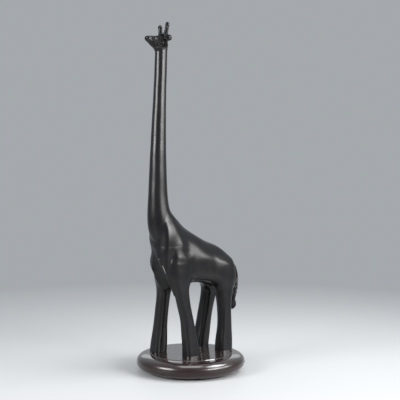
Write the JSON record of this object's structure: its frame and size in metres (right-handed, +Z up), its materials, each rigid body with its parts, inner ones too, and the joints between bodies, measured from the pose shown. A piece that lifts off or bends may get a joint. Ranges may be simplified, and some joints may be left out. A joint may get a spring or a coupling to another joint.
{
  "type": "carved giraffe statue",
  "caption": "Slim long-necked giraffe figure in dark carved wood, standing on a turned round base with a rounded edge and a felt underside.",
  "frame": {"origin": "centre of the felt's underside, the face the statue stands on", "axes": "+Z up along the base's axis; the giraffe faces -Y and its left side is towards +X"},
  "size_m": [0.173, 0.1975, 0.5486],
  "materials": {
    "ebonised_wood": "satin black lacquer over carved hardwood",
    "base_wood": "gloss dark red-brown stain and varnish",
    "felt": "matt pressed felt",
    "screw_steel": "zinc plated",
    "dowel_wood": "bare beech",
    "eye_bead": "polished bead"
  },
  "bodies": {
    "root": {"felt_pad": "felt", "base_plinth": "base_wood", "base_screws": "screw_steel", "front_right_leg": "ebonised_wood", "front_left_leg": "ebonised_wood", "hind_right_leg": "ebonised_wood", "hind_left_leg": "ebonised_wood", "leg_dowels": "dowel_wood", "torso": "ebonised_wood", "neck_dowel": "dowel_wood", "neck": "ebonised_wood", "head_dowel": "dowel_wood", "head": "ebonised_wood", "left_horn": "ebonised_wood", "right_horn": "ebonised_wood", "left_ear": "ebonised_wood", "right_ear": "ebonised_wood", "left_eye": "eye_bead", "right_eye": "eye_bead", "tail": "ebonised_wood"}
  },
  "joints": []
}
